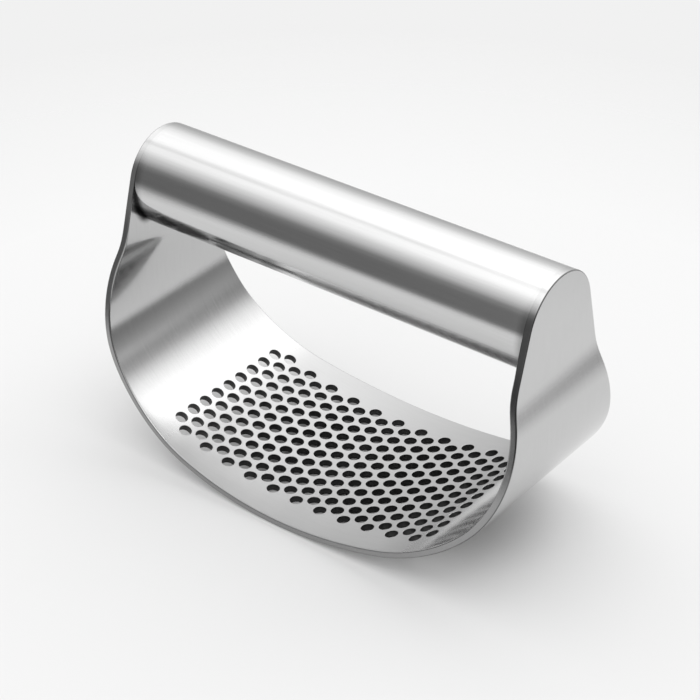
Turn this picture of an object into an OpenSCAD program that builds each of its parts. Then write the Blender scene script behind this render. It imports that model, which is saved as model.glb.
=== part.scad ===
// Rocker garlic press: one perforated stainless sheet, bent into a cradle, with a
// round tube handle welded between its two upright end flaps.
// Millimetres, +Z up, +X along the handle. The origin is under the middle of the
// rocker, on the surface that it stands on. The sheet's outside is the underside.

/* [Sheet] */
// Thickness of the steel sheet
sheet_t = 1.8; // [1.5:0.1:2.2]
// Width of the sheet across the middle, front to back
sheet_w = 60; // [54:1:64]
// Radius of the bowed front and back edges, seen from above
edge_bow_r = 272; // [240:1:400]
// Angle at which a flap's sides spread downwards from the handle
flap_flare = 15.5; // [12:0.5:17]

/* [Bend line, outside of the sheet] */
// Radius of the rocker's underside
rocker_r = 130; // [120:1:140]
// Slope where the rocker's underside ends
rocker_end = 13.2; // [12:0.1:14]
// Radius of the turn from the rocker to the side
turn_r = 44.5; // [42:0.5:47]
// Slope where that turn ends
turn_end = 47.9; // [46:0.1:50]
// Radius of the side
side_r = 31; // [30:0.5:32]
// Slope where the side ends, leaning in over the cradle
side_end = 108.7; // [107:0.1:110]
// Radius of the reverse bend that sets the flap upright
neck_r = 18.2; // [16:0.2:20]

/* [Handle] */
// Outer diameter of the handle tube
tube_d = 25; // [24:0.5:26]
// Wall of the handle tube
tube_wall = 1.2; // [0.8:0.1:2]
// Height of the handle's axis above the bottom of the rocker
axis_h = 63.9; // [62:0.1:70]
// Leg of the weld bead that fills the chamfer at each end of the tube
weld_leg = 0.8; // [0.4:0.1:1]

/* [Perforation] */
// Diameter of a hole
hole_d = 3; // [2:0.1:3.4]
// Distance between neighbouring holes of a row, front to back
hole_pitch = 4.6; // [4.2:0.1:4.8]
// Distance between rows, along the outside of the sheet
row_pitch = 3.66; // [3.4:0.02:3.7]
// Rows on each side of the middle row
side_rows = 11; // [5:1:11]
// Holes in the middle row and in every second row from it
long_row = 10; // [6:1:10]

/* [Hidden] */
$fn = 96;
// Every cut passes the faces that it cuts by this much
over = 1;
tube_r = tube_d / 2;
// Turn of one flat of a bend, in degrees
bend_step = 2;
// Short straight cuts along half of a bowed edge, and round a flap's head
bow_steps = 12;
head_steps = 32;

// Unit direction out of the sheet's underside, at a slope of the bend line
function outward(slope) = [sin(slope), -cos(slope)];

// Centres of the four bends in the X-Z plane, each tangent to the one before
rocker_c = [0, rocker_r];
turn_c = rocker_c + (rocker_r - turn_r) * outward(rocker_end);
side_c = turn_c + (turn_r - side_r) * outward(turn_end);
neck_c = side_c + (side_r + neck_r) * outward(side_end);
// Outer face of the upright flap, and the inner face that the tube stands on
flap_x = neck_c[0] - neck_r;
tube_half = flap_x - sheet_t;

// Length along the outside of the sheet from its middle to the end of the rocker
rocker_run = rocker_r * rocker_end * PI / 180;
// Slope of the bend line at a length along the outside, as far as the turn
function slope_at(run) = run <= rocker_run
    ? run / rocker_r * 180 / PI
    : rocker_end + (run - rocker_run) / turn_r * 180 / PI;
// Point of the bend line's outside at a slope, as far as the turn
function outer_at(slope) = slope <= rocker_end
    ? rocker_c + rocker_r * outward(slope)
    : turn_c + turn_r * outward(slope);

// Points along a bend, past its start, in flats of at most bend_step degrees
function bend(centre, radius, from, to) =
    let (count = ceil(abs(to - from) / bend_step))
        [for (i = [1 : count]) centre + radius * outward(from + (to - from) * i / count)];

// Half of the bent strip seen from the front, at a depth inside the sheet: a list
// of points from beside the middle to above the flap
function half_line(depth) = concat(
    bend(rocker_c, rocker_r - depth, 0, rocker_end),
    bend(turn_c, turn_r - depth, rocker_end, turn_end),
    bend(side_c, side_r - depth, turn_end, side_end),
    bend(neck_c, -(neck_r + depth), side_end, 90),
    [[flap_x - depth, axis_h + tube_r + over]]
);

function reversed(points) = [for (i = [len(points) - 1 : -1 : 0]) points[i]];
function mirrored(points) = [for (p = points) [-p[0], p[1]]];
function whole_line(depth) = concat(reversed(mirrored(half_line(depth))), [[0, depth]], half_line(depth));

// The bent strip, before its outline is cut
module bent_strip() {
    rotate([90, 0, 0])
        translate([0, 0, -sheet_w])
            linear_extrude(2 * sheet_w)
                polygon(concat(whole_line(0), reversed(whole_line(sheet_t))));
}

// Half-width of the bowed sheet at a distance from the middle, seen from above
function bow_half(x) = sqrt(edge_bow_r * edge_bow_r - x * x) - edge_bow_r + sheet_w / 2;

// Outline seen from above: the front and back edges are long bows
module plan_outline() {
    stations = [for (i = [-bow_steps : bow_steps]) i / bow_steps * (flap_x + 2 * sheet_t + neck_r / 2)];
    back = [for (x = stations) [x, bow_half(x)]];
    front = [for (x = stations) [x, -bow_half(x)]];
    translate([0, 0, -over])
        linear_extrude(axis_h + tube_r + 2 * over)
            polygon(concat(front, reversed(back)));
}

// Outline seen along the handle: a round head, flush with the tube, on flared sides
module flap_outline() {
    head = [for (i = [0 : head_steps])
        let (angle = flap_flare + i / head_steps * (180 - 2 * flap_flare))
            [tube_r * cos(angle), axis_h + tube_r * sin(angle)]];
    foot_w = head[0][0] + (head[0][1] + over) * tan(flap_flare);
    rotate([90, 0, 90])
        translate([0, 0, -2 * flap_x])
            linear_extrude(4 * flap_x)
                polygon(concat([[foot_w, -over]], head, [[-foot_w, -over]]));
}

// A row of holes, square to the sheet where the row crosses it
module hole_row(number) {
    slope = slope_at(abs(number) * row_pitch);
    start = outer_at(slope) + over * outward(slope);
    count = abs(number) % 2 == 0 ? long_row : long_row - 1;
    mirror([number < 0 ? 1 : 0, 0, 0])
        translate([start[0], 0, start[1]])
            rotate([0, -slope, 0])
                for (place = [0 : count - 1])
                    translate([0, (place - (count - 1) / 2) * hole_pitch, 0])
                        cylinder(d = hole_d, h = sheet_t + 2 * over, $fn = 24);
}

// The sheet: cradle, sides and flaps in one piece
module rocker_plate() {
    color([0.80, 0.80, 0.81])
        difference() {
            intersection() {
                bent_strip();
                flap_outline();
                plan_outline();
            }
            for (number = [-side_rows : side_rows])
                hole_row(number);
        }
}

// The handle: a plain tube with a weld chamfer at each end
module handle_tube() {
    color([0.86, 0.86, 0.87])
        translate([0, 0, axis_h])
            rotate([0, 90, 0])
                rotate_extrude()
                    polygon([
                        [tube_r - tube_wall, -tube_half],
                        [tube_r - weld_leg, -tube_half],
                        [tube_r, weld_leg - tube_half],
                        [tube_r, tube_half - weld_leg],
                        [tube_r - weld_leg, tube_half],
                        [tube_r - tube_wall, tube_half]
                    ]);
}

// A bead that fills the chamfer, ground flush with the tube
module right_weld() {
    color([0.70, 0.70, 0.71])
        translate([0, 0, axis_h])
            rotate([0, 90, 0])
                rotate_extrude()
                    polygon([
                        [tube_r, tube_half - weld_leg],
                        [tube_r, tube_half],
                        [tube_r - weld_leg, tube_half]
                    ]);
}

module left_weld() {
    mirror([1, 0, 0])
        right_weld();
}

rocker_plate();
handle_tube();
left_weld();
right_weld();
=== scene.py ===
import math

import bpy
import numpy as np
from mathutils import Matrix, Vector


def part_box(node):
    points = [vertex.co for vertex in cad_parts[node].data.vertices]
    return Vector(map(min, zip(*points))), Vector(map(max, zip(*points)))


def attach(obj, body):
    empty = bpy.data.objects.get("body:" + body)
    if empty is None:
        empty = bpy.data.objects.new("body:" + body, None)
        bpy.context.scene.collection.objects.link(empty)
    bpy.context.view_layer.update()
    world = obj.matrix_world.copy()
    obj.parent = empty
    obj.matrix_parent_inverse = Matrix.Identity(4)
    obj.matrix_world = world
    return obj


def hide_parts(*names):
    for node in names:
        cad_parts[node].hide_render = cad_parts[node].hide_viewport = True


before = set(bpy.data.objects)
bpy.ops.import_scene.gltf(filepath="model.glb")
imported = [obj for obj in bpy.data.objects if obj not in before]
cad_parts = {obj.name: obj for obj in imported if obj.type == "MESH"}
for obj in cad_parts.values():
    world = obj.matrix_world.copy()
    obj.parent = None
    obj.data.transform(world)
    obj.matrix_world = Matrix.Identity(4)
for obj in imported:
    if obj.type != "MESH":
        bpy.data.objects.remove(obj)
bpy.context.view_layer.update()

# ---------------------------------------------------------------- dimensions
# Lengths are in millimetres here, and are turned into metres when a mesh is made.
MM = 0.001

# From the frame: the handle tube and the sheet's overall width.
tube_low, tube_high = (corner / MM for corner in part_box("handle_tube"))
plate_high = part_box("rocker_plate")[1] / MM
AXIS_H = (tube_low.z + tube_high.z) / 2
TUBE_R = (tube_high.y - tube_low.y) / 2
TUBE_HALF = tube_high.x
SHEET_HALF_W = plate_high.y

# The sheet's design, as the CAD part has it: thickness, bend line, outline, holes.
SHEET_T = 1.8
ROCKER_R, ROCKER_END = 130.0, math.radians(13.2)
TURN_R, TURN_END = 44.5, math.radians(47.9)
SIDE_R, SIDE_END = 31.0, math.radians(108.7)
NECK_R = 18.2
EDGE_BOW_R = 272.0
FLAP_FLARE = math.radians(15.5)
HOLE_R = 1.62             # the CAD part has 1.5, and deburring opens it a little
HOLE_PITCH = 4.6
ROW_PITCH = 3.66
SIDE_ROWS = 11
LONG_ROW = 10

# The handle's and the welds' design.
TUBE_WALL = 1.2
WELD_LEG = 0.8

# Finishing of the real press, which the CAD part leaves square.
BEND_BLEND = 4.0          # length over which one bend eases into the next
OUTLINE_BLEND = 0.5       # easing where the flare meets the bowed edge
LIP_R = 0.10              # rolled lip round a hole
RIM_R = 0.42              # rounding of the sheet's cut edge
HEAD_RIM_R = 0.36         # the same on the outside of a flap's ground head
SEAM_RIM_R = 0.005        # the same where the flap meets the tube
CORNER_R = 0.004          # rounding of the handle's and the welds' corners

# Heights from the handle's axis over which the cut edge changes towards a flap's head.
SEAM_FADE = (-8.0, -2.0)      # the inside rounding shrinks to the seam's
HEAD_FADE = (-14.0, 0.0)      # the outside rounding shrinks to the head's
GROUND_FADE = (-10.0, -3.0)   # the edge is ground to the same polish as the faces

# Mesh fineness.
LINE_STEP = 0.02          # spacing of the bend line's samples
FLAP_SPARE = 60.0         # straight flap sampled above the last bend
TILT_STEP = 0.25          # half the run over which the outline's slope is taken
CELL_SEGMENTS = 6         # mesh steps along each side of a hole's cell
MARGIN_COLUMNS = 4        # columns between the holes and the cut edge
SIDE_STEP = 1.2           # row spacing up the sides
HEAD_ROWS = 12
HEAD_CORNER = math.radians(52)    # where a head's outline turns from its sides to its top
RIM_STEPS = 4
LIP_STEPS = 2
TUBE_SEGMENTS = 192
ROUNDING_STEPS = 2


# ---------------------------------------------------------------- bend line
def bend_line():
    """Samples of the sheet's outside from its middle to above a flap: run, x, z, slope."""
    runs = [ROCKER_R * ROCKER_END,
            TURN_R * (TURN_END - ROCKER_END),
            SIDE_R * (SIDE_END - TURN_END),
            NECK_R * (SIDE_END - math.pi / 2)]
    bends = [1 / ROCKER_R, 1 / TURN_R, 1 / SIDE_R, -1 / NECK_R]
    run = np.arange(0.0, sum(runs) + FLAP_SPARE, LINE_STEP)
    curvature = np.zeros_like(run)
    start = 0.0
    for length, bend in zip(runs, bends):
        curvature[(run >= start) & (run < start + length)] = bend
        start += length
    half = int(BEND_BLEND / 2 / LINE_STEP)
    padded = np.concatenate([curvature[half:0:-1], curvature, np.zeros(half)])
    eased = np.convolve(padded, np.ones(2 * half + 1) / (2 * half + 1), mode="valid")
    slope = np.concatenate([[0.0], np.cumsum((eased[1:] + eased[:-1]) / 2 * LINE_STEP)])
    slope *= (math.pi / 2) / slope[-1]
    middle = (slope[1:] + slope[:-1]) / 2
    x = np.concatenate([[0.0], np.cumsum(np.cos(middle) * LINE_STEP)])
    z = np.concatenate([[0.0], np.cumsum(np.sin(middle) * LINE_STEP)])
    x *= (TUBE_HALF + SHEET_T) / x[-1]
    return run, x, z, slope


RUN, LINE_X, LINE_Z, LINE_SLOPE = bend_line()
HEAD_Z = AXIS_H + TUBE_R * math.sin(FLAP_FLARE)
HEAD_RUN = float(np.interp(HEAD_Z, LINE_Z, RUN))


def stacked(*parts):
    """Points or directions from their parts, each of which is an array or one value for all."""
    return np.stack(np.broadcast_arrays(*parts), axis=-1)


def bent(run, y, depth):
    """Points of the bent sheet for flat coordinates: run along it, y across it, depth into it."""
    at = np.abs(run)
    slope = np.interp(at, RUN, LINE_SLOPE)
    x = np.interp(at, RUN, LINE_X) - depth * np.sin(slope)
    z = np.interp(at, RUN, LINE_Z) + depth * np.cos(slope)
    return stacked(np.where(run < 0, -x, x), y, z)


def bent_direction(run, along, across, inward):
    """Directions on the bent sheet from flat ones: along the run, across it, into the sheet."""
    slope = np.where(run < 0, -1.0, 1.0) * np.interp(np.abs(run), RUN, LINE_SLOPE)
    x = along * np.cos(slope) - inward * np.sin(slope)
    z = along * np.sin(slope) + inward * np.cos(slope)
    return stacked(x, across, z)


def half_width(run):
    """Half-width of the sheet below a flap's head: the flare and the bow, eased together."""
    at = np.abs(run)
    x = np.interp(at, RUN, LINE_X)
    z = np.interp(at, RUN, LINE_Z)
    flare = TUBE_R * math.cos(FLAP_FLARE) + math.tan(FLAP_FLARE) * (HEAD_Z - z)
    bow = np.sqrt(EDGE_BOW_R ** 2 - x ** 2) - EDGE_BOW_R + SHEET_HALF_W
    return -OUTLINE_BLEND * np.logaddexp(-flare / OUTLINE_BLEND, -bow / OUTLINE_BLEND)


def edge_tilt(run):
    """Angle between the outline and the run, from the outline's own slope."""
    rise = (half_width(run + TILT_STEP) - half_width(run - TILT_STEP)) / (2 * TILT_STEP)
    return np.arctan(np.abs(rise))


# ---------------------------------------------------------------- the flat sheet's grid
BLOCK_RUN = (SIDE_ROWS + 0.5) * ROW_PITCH
BLOCK_HALF_W = LONG_ROW / 2 * HOLE_PITCH
BLOCK_ROWS = (2 * SIDE_ROWS + 1) * CELL_SEGMENTS
BLOCK_COLUMNS = LONG_ROW * CELL_SEGMENTS
BLOCK_EDGE = float(half_width(BLOCK_RUN))


def row_runs():
    """Runs of the grid's rows from one head line to the other, and the rows above the block."""
    block = np.linspace(-BLOCK_RUN, BLOCK_RUN, BLOCK_ROWS + 1)
    count = int(math.ceil((HEAD_RUN - BLOCK_RUN) / SIDE_STEP))
    side = np.linspace(BLOCK_RUN, HEAD_RUN, count + 1)[1:]
    return np.concatenate([-side[::-1], block, side]), count


ROWS, SIDE_COUNT = row_runs()


def row_columns(run, edge):
    """Places across one row: even over the holes, and scaled to the edge above their block."""
    block = np.linspace(-BLOCK_HALF_W, BLOCK_HALF_W, BLOCK_COLUMNS + 1)
    own_edge = edge if abs(run) <= BLOCK_RUN else BLOCK_EDGE
    share = np.linspace(0, 1, MARGIN_COLUMNS + 1)[1:]
    margin = BLOCK_HALF_W + share * (own_edge - BLOCK_HALF_W)
    return np.concatenate([-margin[::-1], block, margin]) * (edge / own_edge)


def flat_layer(inset):
    """Flat positions (rows, columns, 2) of the sheet's grid, pulled in from its edge by inset.

    inset is a function of the height above the floor, so that the rounding can vary.
    """
    height = np.interp(np.abs(ROWS), RUN, LINE_Z)
    edge = half_width(ROWS) - inset(height) / np.cos(edge_tilt(ROWS))
    y = np.array([row_columns(run, row_edge) for run, row_edge in zip(ROWS, edge)])
    head = head_patch(y[-1], TUBE_R - float(inset(HEAD_Z)))
    head_run = HEAD_RUN + head[:, :, 1] - TUBE_R * math.sin(FLAP_FLARE)
    after = stacked(head_run, head[:, :, 0])
    before = stacked(-head_run[::-1], head[::-1, :, 0])
    return np.concatenate([before, stacked(ROWS[:, None], y), after])


def head_patch(base_y, radius):
    """Rows (count, columns, 2) of y and height above the axis that fill a flap's round head."""
    start = math.asin(TUBE_R * math.sin(FLAP_FLARE) / radius)
    share = (base_y - base_y[0]) / (base_y[-1] - base_y[0])
    arc = math.pi - HEAD_CORNER - share * (math.pi - 2 * HEAD_CORNER)
    top = radius * stacked(np.cos(arc), np.sin(arc))
    base = stacked(base_y, radius * math.sin(start))
    across = share[:, None]
    rows = []
    for level in np.linspace(0, 1, HEAD_ROWS + 1)[1:]:
        angle = start + level * (HEAD_CORNER - start)
        right = radius * np.array([math.cos(angle), math.sin(angle)])
        left = right * [-1, 1]
        ruled = (1 - level) * base + level * top
        sides = (1 - across) * left + across * right
        corners = ((1 - level) * ((1 - across) * base[0] + across * base[-1])
                   + level * ((1 - across) * top[0] + across * top[-1]))
        rows.append(ruled + sides - corners)
    return np.array(rows)


def border(grid):
    """The grid's border as one closed list, the same way round for every layer."""
    return np.concatenate([grid[0, :-1], grid[:-1, -1], grid[-1, :0:-1], grid[:0:-1, 0]])


# ---------------------------------------------------------------- mesh building
class Builder:
    """Collects points, normals, flat coordinates and finish weights, then makes a mesh."""

    def __init__(self):
        self.points, self.normals, self.flats, self.finishes = [], [], [], []
        self.quads = []
        self.count = 0

    def add(self, points, normals, flats, finish):
        """Adds points (any shape, last axis 3) and returns their numbers in the same shape."""
        shape = points.shape[:-1]
        self.points.append(points.reshape(-1, 3))
        self.normals.append(np.broadcast_to(normals, points.shape).reshape(-1, 3))
        self.flats.append(np.broadcast_to(flats, points.shape).reshape(-1, 3))
        self.finishes.append(np.broadcast_to(finish, shape).reshape(-1))
        first = self.count
        self.count += int(np.prod(shape))
        return np.arange(first, self.count).reshape(shape)

    def loops(self, first, second):
        """Quads between two closed loops of the same length."""
        ahead = np.roll(first, -1), np.roll(second, -1)
        self.quads.append(np.stack([first, ahead[0], ahead[1], second], axis=-1))

    def grid(self, numbers, keep):
        """Quads over a grid of numbers, only where keep is true."""
        low, high = numbers[:-1], numbers[1:]
        quads = np.stack([low[:, :-1], low[:, 1:], high[:, 1:], high[:, :-1]], axis=-1)
        self.quads.append(quads[keep])

    def make(self, name):
        """The finished piece, with each face turned the way its points' normals look."""
        points = np.concatenate(self.points)
        normals = np.concatenate(self.normals)
        flats = np.concatenate(self.flats)
        finishes = np.concatenate(self.finishes)
        quads = np.concatenate(self.quads)
        a, b, c, d = (points[quads[:, i]] for i in range(4))
        facing = (np.cross(c - a, d - b) * normals[quads].sum(axis=1)).sum(axis=1)
        quads[facing < 0] = quads[facing < 0][:, ::-1]
        used = np.unique(quads)
        renumber = np.full(self.count, -1)
        renumber[used] = np.arange(len(used))
        mesh = bpy.data.meshes.new(name)
        mesh.from_pydata((points[used] * MM).tolist(), [], renumber[quads].tolist())
        mesh.validate()
        flat = mesh.attributes.new("flat", "FLOAT_VECTOR", "POINT")
        flat.data.foreach_set("vector", flats[used].astype(np.float32).ravel())
        finish = mesh.attributes.new("finish", "FLOAT", "POINT")
        finish.data.foreach_set("value", finishes[used].astype(np.float32))
        mesh.polygons.foreach_set("use_smooth", np.ones(len(mesh.polygons), bool))
        length = np.linalg.norm(normals[used], axis=1, keepdims=True)
        mesh.normals_split_custom_set_from_vertices((normals[used] / length).tolist())
        mesh.update()
        piece = bpy.data.objects.new(name, mesh)
        bpy.context.scene.collection.objects.link(piece)
        return piece


# ---------------------------------------------------------------- the sheet
# Finish weights: 0 on the polished faces, 1 on a punched hole wall, 0.5 on a cut edge.
FACE, CUT, PUNCHED = 0.0, 0.5, 1.0
# Angle from a cell's centre to its low corner, where the loops round it begin.
CELL_START = math.radians(225)


def easing(height, fade):
    """0 below the fade's heights from the handle's axis, 1 above them, and smooth between."""
    share = np.clip((height - AXIS_H - fade[0]) / (fade[1] - fade[0]), 0, 1)
    return share * share * (3 - 2 * share)


def inner_rim(height):
    """Rounding of the cut edge on the inside, which ends where the tube begins."""
    return RIM_R + (SEAM_RIM_R - RIM_R) * easing(height, SEAM_FADE)


def outer_rim(height):
    """Rounding of the cut edge on the outside, smaller on the ground head."""
    return RIM_R + (HEAD_RIM_R - RIM_R) * easing(height, HEAD_FADE)


def face_of(sheet, grid, depth, inward):
    """Adds one face of the sheet and returns its numbers."""
    run, y = grid[:, :, 0], grid[:, :, 1]
    normals = bent_direction(run, 0.0, 0.0, inward)
    return sheet.add(bent(run, y, depth), normals, stacked(run, y, depth), FACE)


def cut_edge(sheet, inner_numbers, outer_numbers):
    """The rounded cut edge between the two faces' borders."""
    outline = border(flat_layer(lambda level: 0 * level))
    height = np.interp(np.abs(outline[:, 0]), RUN, LINE_Z)
    ahead = np.roll(outline, -1, axis=0) - np.roll(outline, 1, axis=0)
    ahead /= np.linalg.norm(ahead, axis=1, keepdims=True)
    outward = stacked(ahead[:, 1], -ahead[:, 0])
    outward *= np.sign((outward * outline).sum(axis=1).mean())
    turns = np.linspace(0, math.pi / 2, RIM_STEPS + 1)
    steps = [(inner_rim, turn, 1.0) for turn in turns[1:]]
    steps += [(outer_rim, turn, -1.0) for turn in turns[:0:-1]]
    loops = [border(inner_numbers)]
    for rim, turn, inward in steps:
        layer = border(flat_layer(lambda level: rim(level) * (1 - math.sin(turn))))
        run, y = layer[:, 0], layer[:, 1]
        sunk = rim(height) * (1 - math.cos(turn))
        depth = SHEET_T - sunk if inward > 0 else sunk
        along, across = (outward * math.sin(turn)).T
        normals = bent_direction(run, along, across, inward * math.cos(turn))
        finish = CUT * math.sin(turn) * (1 - easing(height, GROUND_FADE))
        loops.append(sheet.add(bent(run, y, depth), normals, stacked(run, y, depth), finish))
    loops.append(border(outer_numbers))
    for first, second in zip(loops, loops[1:]):
        sheet.loops(first, second)


def hole(sheet, inner_cell, outer_cell, centre):
    """A punched hole: rolled lip, wall and lip between the cells of the two faces."""
    count = 4 * CELL_SEGMENTS
    angle = CELL_START + np.arange(count) * 2 * math.pi / count
    along, across = np.sin(angle), np.cos(angle)
    turns = np.linspace(0, math.pi / 2, LIP_STEPS + 1)
    steps = [(SHEET_T - LIP_R * (1 - math.cos(turn)), turn, 1.0) for turn in turns]
    steps += [(LIP_R * (1 - math.cos(turn)), turn, -1.0) for turn in turns[::-1]]
    loops = [inner_cell]
    for depth, turn, inward in steps:
        radius = HOLE_R + LIP_R * (1 - math.sin(turn))
        run = centre[0] + radius * along
        y = centre[1] + radius * across
        normals = bent_direction(run, -along * math.sin(turn), -across * math.sin(turn),
                                 inward * math.cos(turn))
        finish = PUNCHED if turn == turns[-1] else FACE
        loops.append(sheet.add(bent(run, y, depth), normals, stacked(run, y, depth), finish))
    loops.append(outer_cell)
    for first, second in zip(loops, loops[1:]):
        sheet.loops(first, second)


def hole_places():
    """First row and first column of every hole's cell in the block's grid."""
    for number in range(-SIDE_ROWS, SIDE_ROWS + 1):
        count = LONG_ROW if number % 2 == 0 else LONG_ROW - 1
        first = (BLOCK_COLUMNS - count * CELL_SEGMENTS) // 2
        for place in range(count):
            yield (number + SIDE_ROWS) * CELL_SEGMENTS, first + place * CELL_SEGMENTS


def cell_loop(numbers, row, column):
    """The closed loop of grid numbers round a hole's cell, from its low corner."""
    return border(numbers[row:row + CELL_SEGMENTS + 1, column:column + CELL_SEGMENTS + 1])


def build_sheet():
    """The perforated sheet: two faces, the cut edge between them, and every hole."""
    sheet = Builder()
    inner = flat_layer(inner_rim)
    inner_numbers = face_of(sheet, inner, SHEET_T, 1.0)
    outer_numbers = face_of(sheet, flat_layer(outer_rim), 0.0, -1.0)
    keep = np.ones((inner.shape[0] - 1, inner.shape[1] - 1), bool)
    for block_row, block_column in hole_places():
        row = HEAD_ROWS + SIDE_COUNT + block_row
        column = MARGIN_COLUMNS + block_column
        keep[row:row + CELL_SEGMENTS, column:column + CELL_SEGMENTS] = False
        corners = inner[[row, row + CELL_SEGMENTS], [column, column + CELL_SEGMENTS]]
        hole(sheet, cell_loop(inner_numbers, row, column), cell_loop(outer_numbers, row, column),
             corners.mean(axis=0))
    sheet.grid(inner_numbers, keep)
    sheet.grid(outer_numbers, keep)
    cut_edge(sheet, inner_numbers, outer_numbers)
    return sheet.make("press_sheet")


# ---------------------------------------------------------------- the handle and its welds
def rounded(corners, radius):
    """A closed outline of (radius from the axis, x), each corner rounded: points and normals."""
    outline = []
    for i, corner in enumerate(corners):
        before = np.subtract(corner, corners[i - 1])
        after = np.subtract(corners[(i + 1) % len(corners)], corner)
        start, end = (math.atan2(-way[0], way[1]) for way in (before, after))
        turn = (end - start + math.pi) % (2 * math.pi) - math.pi
        reach = math.copysign(radius / math.cos(turn / 2), turn)
        middle = start + turn / 2
        centre = corner - reach * np.array([math.cos(middle), math.sin(middle)])
        for share in np.linspace(0, 1, ROUNDING_STEPS + 1):
            angle = start + share * turn
            normal = np.array([math.cos(angle), math.sin(angle)])
            outline.append((centre + math.copysign(radius, turn) * normal, normal))
    return outline


def turned(name, outline):
    """A closed ring turned about the handle's axis from an outline's points and normals."""
    ring = Builder()
    angle = np.arange(TUBE_SEGMENTS) * 2 * math.pi / TUBE_SEGMENTS
    loops = []
    for (radius, x), (normal_r, normal_x) in outline:
        points = stacked(x, radius * np.cos(angle), radius * np.sin(angle) + AXIS_H)
        normals = stacked(normal_x, normal_r * np.cos(angle), normal_r * np.sin(angle))
        loops.append(ring.add(points, normals, stacked(x, angle * TUBE_R, radius), FACE))
    for first, second in zip(loops, loops[1:] + loops[:1]):
        ring.loops(first, second)
    return ring.make(name)


def build_tube():
    """The handle, with a chamfer at each end for its weld."""
    bore = TUBE_R - TUBE_WALL
    neck = TUBE_R - WELD_LEG
    shoulder = TUBE_HALF - WELD_LEG
    corners = [(bore, TUBE_HALF), (bore, -TUBE_HALF), (neck, -TUBE_HALF),
               (TUBE_R, -shoulder), (TUBE_R, shoulder), (neck, TUBE_HALF)]
    return turned("press_tube", rounded(corners, CORNER_R))


def build_weld(name, side):
    """The ring of weld that fills one chamfer, flush with the tube. side is -1 or 1."""
    shoulder = TUBE_HALF - WELD_LEG
    corners = [(TUBE_R - WELD_LEG, side * TUBE_HALF), (TUBE_R, side * shoulder),
               (TUBE_R, side * TUBE_HALF)]
    return turned(name, rounded(corners[::side], CORNER_R))


# ---------------------------------------------------------------- shader nodes
def node_of(tree, kind, **sockets):
    """A new node with the named sockets set, an underscore standing for a space."""
    node = tree.nodes.new(kind)
    for name, value in sockets.items():
        node.inputs[name.replace("_", " ")].default_value = value
    return node


def math_node(tree, operation, *values):
    """A maths node whose inputs are numbers or other nodes' outputs."""
    node = tree.nodes.new("ShaderNodeMath")
    node.operation = operation
    for socket, value in zip(node.inputs, values):
        if isinstance(value, (int, float)):
            socket.default_value = value
        else:
            tree.links.new(value, socket)
    return node.outputs["Value"]


def product(tree, first, *others):
    """All the values multiplied together."""
    for value in others:
        first = math_node(tree, "MULTIPLY", first, value)
    return first


def total(tree, first, *others):
    """All the values added together."""
    for value in others:
        first = math_node(tree, "ADD", first, value)
    return first


def without(tree, share):
    """What is left of 1 when a share is taken away."""
    return math_node(tree, "SUBTRACT", 1.0, share)


def spread(tree, value, source, target, smooth=False):
    """The value carried from one range to another and held at its ends."""
    node = node_of(tree, "ShaderNodeMapRange", From_Min=source[0], From_Max=source[1],
                   To_Min=target[0], To_Max=target[1])
    if smooth:
        node.interpolation_type = "SMOOTHSTEP"
    tree.links.new(value, node.inputs["Value"])
    return node.outputs["Result"]


def ramp(tree, value, stops):
    """A ramp of grey levels from (position, level) stops."""
    node = tree.nodes.new("ShaderNodeValToRGB")
    elements = node.color_ramp.elements
    while len(elements) < len(stops):
        elements.new(0.5)
    for element, (position, level) in zip(elements, stops):
        element.position = position
        element.color = (level, level, level, 1)
    tree.links.new(value, node.inputs["Fac"])
    return node.outputs["Color"]


def stretched(tree, vector, scale, shift=(0.0, 0.0, 0.0)):
    """A vector scaled along each axis, then shifted."""
    node = node_of(tree, "ShaderNodeMapping", Scale=scale, Location=shift)
    tree.links.new(vector, node.inputs["Vector"])
    return node.outputs["Vector"]


def noise(tree, vector, scale, detail):
    """Noise over a vector stretched by scale, from 0 to 1."""
    node = node_of(tree, "ShaderNodeTexNoise", Scale=1.0, Detail=detail, Roughness=NOISE_ROUGHNESS)
    tree.links.new(stretched(tree, vector, scale), node.inputs["Vector"])
    return node.outputs["Fac"]


def length_of(tree, vector):
    """The length of a vector."""
    node = tree.nodes.new("ShaderNodeVectorMath")
    node.operation = "LENGTH"
    tree.links.new(vector, node.inputs[0])
    return node.outputs["Value"]


def attribute(tree, name, output):
    """One of a mesh attribute's outputs."""
    node = tree.nodes.new("ShaderNodeAttribute")
    node.attribute_name = name
    return node.outputs[output]


def parts_of(tree, vector):
    """The outputs X, Y and Z of a vector."""
    node = tree.nodes.new("ShaderNodeSeparateXYZ")
    tree.links.new(vector, node.inputs["Vector"])
    return node.outputs


def own_place(tree):
    """The place in the piece's own coordinates, in metres."""
    return tree.nodes.new("ShaderNodeTexCoord").outputs["Object"]


# ---------------------------------------------------------------- painted shade on the steel
# Painted shade and painted dark reflections: each share is what it takes away from the tone.
# Heights are from the handle's axis, and depths are into the sheet from its outside.
SHADE_TOP = (4.0, 10.0)            # heights over which the painted shade at the joints ends
END_SHADE, END_REACH = 0.4, 2.5    # painted shade at the tube's ends, and its length
UNDER_SHADE = 0.38                 # painted shade along the handle's underside
UNDER_HEIGHT = (-7.4, -5.2)
NOOK_SHADE = 0.92                  # painted shade on the flap's inside, in the corner at the handle
NOOK_REACH = (0.3, 2.1)           # distances from the handle over which it fades
NOOK_HEIGHT = (-10.5, -8.5)       # heights over which it begins
NOOK_DEPTH = (SHEET_T * 0.8, SHEET_T)
EDGE_SHADE = 0.55                  # painted dark reflection on the right flap's cut edge
EDGE_HEIGHT = (-22.0, -12.0)
EDGE_DEPTH = (0.0, 0.3)
SEAM_DEPTH = (SHEET_T - 0.05, SHEET_T)
RIGHT_SIDE = (-1.0, 1.0)          # runs over which it begins
DARK_LINE_SHADE = 0.65                  # painted dark reflection along the outer edge, all the way round
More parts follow.
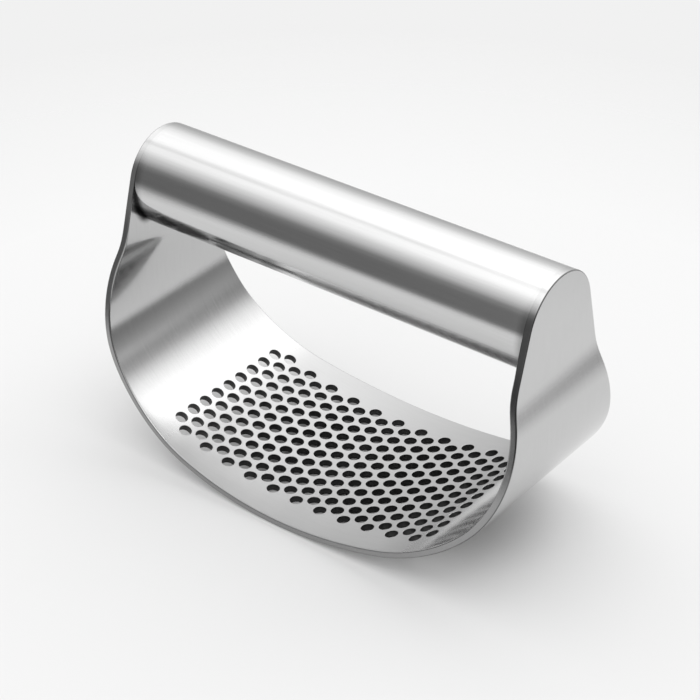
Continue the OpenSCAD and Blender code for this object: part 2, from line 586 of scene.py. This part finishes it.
DARK_LINE_START, DARK_LINE_END = (0.0, 0.08), (0.20, 0.34)


def handle_painted_shade(tree, along, height):
    """Painted shade on the handle and its welds: at both ends beside the flaps, and along the
    underside.
    """
    end = spread(tree, math_node(tree, "ABSOLUTE", along), (TUBE_HALF - END_REACH, TUBE_HALF),
                 (0.0, END_SHADE), smooth=True)
    below_top = spread(tree, height, SHADE_TOP, (1.0, 0.0), smooth=True)
    underside = spread(tree, height, UNDER_HEIGHT, (UNDER_SHADE, 0.0), smooth=True)
    return math_node(tree, "MAXIMUM", product(tree, end, below_top), underside)


def sheet_painted_shade(tree, flat, height):
    """Painted shade on the sheet: beside the handle, a dark reflection on the right cut edge, and
    a dark line along the outer edge.
    """
    away = math_node(tree, "SQRT", total(tree, product(tree, height, height),
                                         product(tree, flat["Y"], flat["Y"])))
    nook = product(
        tree,
        spread(tree, away, (TUBE_R + NOOK_REACH[0], TUBE_R + NOOK_REACH[1]), (NOOK_SHADE, 0.0),
               smooth=True),
        spread(tree, flat["Z"], NOOK_DEPTH, (0.0, 1.0)),
        spread(tree, height, NOOK_HEIGHT, (0.0, 1.0)))
    edge = product(
        tree,
        spread(tree, flat["Z"], EDGE_DEPTH, (0.0, EDGE_SHADE)),
        spread(tree, flat["Z"], SEAM_DEPTH, (1.0, 0.0)),
        spread(tree, flat["X"], RIGHT_SIDE, (0.0, 1.0)),
        spread(tree, height, EDGE_HEIGHT, (0.0, 1.0), smooth=True))
    dark_line = product(
        tree,
        spread(tree, flat["Z"], DARK_LINE_START, (0.0, DARK_LINE_SHADE)),
        spread(tree, flat["Z"], DARK_LINE_END, (1.0, 0.0)))
    below_top = spread(tree, height, SHADE_TOP, (1.0, 0.0), smooth=True)
    joint_shade = product(tree, math_node(tree, "MAXIMUM", nook, edge), below_top)
    return math_node(tree, "MAXIMUM", joint_shade, dark_line)


# ---------------------------------------------------------------- the steel
# What each finish adds to the roughness, and what is left of the tone or taken from it.
# A cut edge's lower tone is partly its duller finish and partly painted shade, for the shadowed
# floor it reflects.
CUT_ROUGHER, CUT_TONE_AND_SHADE = 0.06, 0.57
# A punched hole wall's low level is partly its duller finish and partly painted shade down the
# hole.
PUNCHED_ROUGHER, PUNCHED_LEVEL_AND_SHADE = 0.25, 0.08
FIELD_ROUGHER, FIELD_DARKER = 0.24, 0.20      # the sheet's inside, round the holes
INNER_DARKER = 0.10                           # the sheet's inside everywhere
WORN_SMOOTHER, WORN_LIGHTER = 0.03, 0.03      # edges polished by handling
FIELD_RUN = (BLOCK_RUN * 0.75, BLOCK_RUN * 1.1)
INSIDE_DEPTH = (SHEET_T * 0.6, SHEET_T)
INNER_FACE_DEPTH = (SHEET_T * 0.98, SHEET_T)

# The brushing: each noise's detail, the band of it that shows, and what that band does to
# the roughness and the tone. Scuffs are shorter than strokes, and wider.
NOISE_ROUGHNESS = 0.6
STROKE_DETAIL, STROKE_BAND = 4.0, (0.3, 0.7)
STROKE_ROUGH, STROKE_TONE = (0.85, 1.15), (0.97, 1.03)
SCUFF_DETAIL, SCUFF_BAND, SCUFF_ROUGHER = 2.0, (0.55, 0.75), (0.0, 0.03)
SCUFF_STRETCH = (3.0, 0.3)
SMUDGE_DETAIL, SMUDGE_BAND, SMUDGE_ROUGHER = 3.0, (0.4, 0.7), (-0.01, 0.03)
SMUDGE_GRAIN = (0.06, 0.08, 0.1)


def steel(name, level, roughness, grain, depth, is_sheet=False):
    """Brushed stainless steel on the piece's flat coordinates.

    level and roughness are those of the polished faces, grain the strokes per millimetre along
    and across the brushing, and depth the strokes' depth. The sheet's inside is duller.
    """
    material = bpy.data.materials.new(name)
    material.use_nodes = True
    tree = material.node_tree
    shader = tree.nodes["Principled BSDF"]
    shader.inputs["Metallic"].default_value = 1.0
    vector = attribute(tree, "flat", "Vector")
    flat = parts_of(tree, vector)
    finish = attribute(tree, "finish", "Fac")
    above_floor = math_node(tree, "DIVIDE", parts_of(tree, own_place(tree))["Z"], MM)
    height = math_node(tree, "SUBTRACT", above_floor, AXIS_H)

    strokes = noise(tree, vector, (grain[0], grain[1], 1.0), STROKE_DETAIL)
    scuff_grain = (grain[0] * SCUFF_STRETCH[0], grain[1] * SCUFF_STRETCH[1], 1.0)
    scuffs = noise(tree, vector, scuff_grain, SCUFF_DETAIL)
    smudges = noise(tree, vector, SMUDGE_GRAIN, SMUDGE_DETAIL)
    # The last tone factor below is painted shade and painted dark reflection at the joints, the
    # underside and the edges.
    if is_sheet:
        away = math_node(tree, "ABSOLUTE", flat["X"])
        field = spread(tree, away, FIELD_RUN, (1.0, 0.0), smooth=True)
        dulled = product(tree, spread(tree, flat["Z"], INSIDE_DEPTH, (0.0, 1.0)), field)
        inner_face = spread(tree, flat["Z"], INNER_FACE_DEPTH, (0.0, 1.0))
        painted_shade = sheet_painted_shade(tree, flat, height)
    else:
        dulled, inner_face = 0.0, 0.0
        painted_shade = handle_painted_shade(tree, flat["X"], height)
    # Handling has polished the roundings, where the finish is part-way to that of a cut edge.
    worn = math_node(tree, "SUBTRACT", spread(tree, finish, (FACE, CUT / 2), (0.0, 1.0)),
                     spread(tree, finish, (CUT / 2, CUT), (0.0, 1.0)))

    # Roughness: fine strokes, wider scuffs and soft smudges over the base polish.
    rough = total(
        tree,
        product(tree, roughness, spread(tree, strokes, STROKE_BAND, STROKE_ROUGH)),
        spread(tree, scuffs, SCUFF_BAND, SCUFF_ROUGHER),
        spread(tree, smudges, SMUDGE_BAND, SMUDGE_ROUGHER),
        product(tree, FIELD_ROUGHER, dulled),
        spread(tree, finish, (FACE, CUT), (0.0, CUT_ROUGHER)),
        spread(tree, finish, (CUT, PUNCHED), (0.0, PUNCHED_ROUGHER)),
        product(tree, -WORN_SMOOTHER, worn))
    tree.links.new(rough, shader.inputs["Roughness"])

    # Reflectance: even on the faces, lower inside, on cut edges and down a punched hole, the last
    # two partly painted shade; the last factor is painted shade and dark reflection.
    shade = product(
        tree,
        ramp(tree, finish, [(FACE, level), (CUT, level * CUT_TONE_AND_SHADE), (PUNCHED, PUNCHED_LEVEL_AND_SHADE)]),
        without(tree, product(tree, INNER_DARKER, inner_face)),
        without(tree, product(tree, FIELD_DARKER, dulled)),
        spread(tree, strokes, STROKE_BAND, STROKE_TONE),
        math_node(tree, "MULTIPLY_ADD", worn, WORN_LIGHTER, 1.0),
        without(tree, painted_shade))
    tree.links.new(shade, shader.inputs["Base Color"])

    bump = node_of(tree, "ShaderNodeBump", Strength=1.0, Distance=depth * MM)
    tree.links.new(strokes, bump.inputs["Height"])
    tree.links.new(bump.outputs["Normal"], shader.inputs["Normal"])
    return material


# ---------------------------------------------------------------- build the press
sheet = build_sheet()
sheet.data.materials.append(steel("sheet_steel", level=0.565, roughness=0.12, grain=(0.12, 3.0),
                                  depth=0.0015, is_sheet=True))
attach(sheet, "root")
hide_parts("rocker_plate")

tube = build_tube()
tube.data.materials.append(steel("tube_steel", level=0.61, roughness=0.13, grain=(0.06, 4.0),
                                 depth=0.002))
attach(tube, "root")
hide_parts("handle_tube")

weld_steel = steel("weld_steel", level=0.60, roughness=0.13, grain=(0.8, 4.0), depth=0.002)
for weld_node, weld_side in (("left_weld", -1), ("right_weld", 1)):
    weld = build_weld("press_" + weld_node, weld_side)
    weld.data.materials.append(weld_steel)
    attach(weld, "root")
    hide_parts(weld_node)

# ---------------------------------------------------------------- stage and light
FLOOR_R = 0.27
FLOOR_SEGMENTS = 96
FLOOR_FADE = (FLOOR_R * 0.55, FLOOR_R * 0.98)     # where the paper fades out
FLOOR_SHADE = 0.55
FLOOR_GLOW = 0.17
FLOOR_ROUGHNESS = 0.9
# The press's own shadow on the floor: its reach along and across the handle, and its shift.
SHADOW_REACH = (50.0, 28.0)
SHADOW_SHIFT = 7.0
SHADOW_SHARE = 0.75             # how much of the paper's own shade is left in it
SHADOW_FADE = (0.5, 1.1)        # where it ends, in shares of its reach
PAPER = 0.88


def floor_paper():
    """Pale paper that fades out at the rim, a little lit from below except under the press."""
    material = bpy.data.materials.new("floor_paper")
    material.use_nodes = True
    tree = material.node_tree
    shader = tree.nodes["Principled BSDF"]
    shader.inputs["Roughness"].default_value = FLOOR_ROUGHNESS
    shader.inputs["Specular IOR Level"].default_value = 0.0
    shader.inputs["Emission Color"].default_value = (1, 1, 1, 1)
    along, across = (1 / (reach * MM) for reach in SHADOW_REACH)
    shift = (-SHADOW_SHIFT / SHADOW_REACH[0], 0.0, 0.0)
    away = length_of(tree, stretched(tree, own_place(tree), (along, across, 1.0), shift))
    glow = spread(tree, away, SHADOW_FADE, (0.0, FLOOR_GLOW), smooth=True)
    tree.links.new(glow, shader.inputs["Emission Strength"])
    shade = spread(tree, away, SHADOW_FADE, (FLOOR_SHADE * SHADOW_SHARE, FLOOR_SHADE), smooth=True)
    tree.links.new(shade, shader.inputs["Base Color"])
    fade = spread(tree, length_of(tree, own_place(tree)), FLOOR_FADE, (1.0, 0.0))
    tree.links.new(fade, shader.inputs["Alpha"])
    return material


def build_floor():
    """A disc of paper under the press."""
    mesh = bpy.data.meshes.new("floor")
    angles = np.arange(FLOOR_SEGMENTS) * 2 * math.pi / FLOOR_SEGMENTS
    rim = [(FLOOR_R * math.cos(angle), FLOOR_R * math.sin(angle), 0.0) for angle in angles]
    mesh.from_pydata(rim, [], [tuple(range(FLOOR_SEGMENTS))])
    mesh.materials.append(floor_paper())
    floor = bpy.data.objects.new("floor", mesh)
    bpy.context.scene.collection.objects.link(floor)


# The studio's brightness round the handle's axis, by the angle up from the back:
# 0 is the back, 90 straight up, 180 the front, and -90 straight down.
STUDIO_ROUND = [(-90, 0.50), (-12, 0.52), (-2, 0.60), (18, 0.90), (36, 1.40), (58, 1.75),
                (85, 1.75), (94, 1.24), (101, 1.58), (112, 1.50), (124, 1.10), (139, 0.66),
                (149, 0.30), (160, 0.20), (190, 0.20), (197, 0.42), (206, 0.60), (269, 0.50)]
# How much of that there is from the left (-1) to the right (1), above the floor.
STUDIO_ACROSS = [(-1.0, 0.75), (-0.7, 0.85), (-0.5, 1.0), (-0.33, 1.30), (0.0, 1.45), (0.42, 1.30),
                 (0.52, 1.05), (0.64, 0.44), (0.70, 0.38), (0.75, 0.68), (0.82, 0.40), (1.0, 0.30)]
# Low directions at the back look at the floor there, and get at least a share of 1.
LOW_Z = (-0.10, 0.0)
BACK_Y = (-0.2, 0.2)
# Both lists are held in ramps as shares of this level.
RAMP_TOP = 2.0


def studio_level(tree):
    """The studio's brightness in the direction that is looked in."""
    way = parts_of(tree, tree.nodes.new("ShaderNodeTexCoord").outputs["Generated"])
    angle = math_node(tree, "ARCTAN2", way["Z"], way["Y"])
    # Both ramps run from 0 to 1: one through a full turn from straight down, one from the left.
    turn = math_node(tree, "FRACT", math_node(tree, "MULTIPLY_ADD", angle, 0.5 / math.pi, 0.25))
    around = ramp(tree, turn, [((degrees + 90) / 360, level / RAMP_TOP)
                               for degrees, level in STUDIO_ROUND])
    sideways = math_node(tree, "MULTIPLY_ADD", way["X"], 0.5, 0.5)
    across = ramp(tree, sideways, [((x + 1) / 2, level / RAMP_TOP) for x, level in STUDIO_ACROSS])
    low_back = product(tree, spread(tree, way["Z"], LOW_Z, (1 / RAMP_TOP, 0.0)),
                       spread(tree, way["Y"], BACK_Y, (0.0, 1.0)))
    return product(tree, around, math_node(tree, "MAXIMUM", across, low_back), RAMP_TOP ** 2)


def build_world():
    """A soft studio for the reflections, and plain pale paper behind everything."""
    world = bpy.data.worlds.new("studio")
    bpy.context.scene.world = world
    world.use_nodes = True
    tree = world.node_tree
    tree.nodes.clear()
    studio = node_of(tree, "ShaderNodeBackground", Color=(1, 1, 1, 1))
    tree.links.new(studio_level(tree), studio.inputs["Strength"])
    paper = node_of(tree, "ShaderNodeBackground", Color=(PAPER, PAPER, PAPER, 1))
    path = tree.nodes.new("ShaderNodeLightPath")
    pick = tree.nodes.new("ShaderNodeMixShader")
    tree.links.new(path.outputs["Is Camera Ray"], pick.inputs["Fac"])
    tree.links.new(studio.outputs["Background"], pick.inputs[1])
    tree.links.new(paper.outputs["Background"], pick.inputs[2])
    output = tree.nodes.new("ShaderNodeOutputWorld")
    tree.links.new(pick.outputs["Shader"], output.inputs["Surface"])


build_floor()
build_world()
bpy.context.scene.view_settings.view_transform = "Standard"

# ---------------------------------------------------------------- camera
CAMERA_AZIMUTH = math.radians(37.42)
CAMERA_ELEVATION = math.radians(32.53)
CAMERA_ROLL = math.radians(0.38)
CAMERA_DISTANCE = 483.2
CAMERA_DROP = 24.9        # the view's centre, below the handle's middle in the picture plane
CAMERA_NEAR = 10.0
FOCAL_SHARE = 2.972       # focal length over the picture's width


def build_camera():
    """The camera, aimed from its azimuth and elevation at a point below the handle's middle."""
    back = Vector((math.sin(CAMERA_AZIMUTH) * math.cos(CAMERA_ELEVATION),
                   -math.cos(CAMERA_AZIMUTH) * math.cos(CAMERA_ELEVATION),
                   math.sin(CAMERA_ELEVATION)))
    level = Vector((math.cos(CAMERA_AZIMUTH), math.sin(CAMERA_AZIMUTH), 0))
    upright = back.cross(level)
    right = math.cos(CAMERA_ROLL) * level + math.sin(CAMERA_ROLL) * upright
    up = back.cross(right)
    eye = Vector((0, 0, AXIS_H)) + back * CAMERA_DISTANCE - up * CAMERA_DROP
    data = bpy.data.cameras.new("camera")
    data.lens = FOCAL_SHARE * data.sensor_width
    data.clip_start = CAMERA_NEAR * MM
    camera = bpy.data.objects.new("camera", data)
    rotation = Matrix((right, up, back)).transposed().to_4x4()
    camera.matrix_world = Matrix.Translation(eye * MM) @ rotation
    bpy.context.scene.collection.objects.link(camera)
    bpy.context.scene.camera = camera


build_camera()
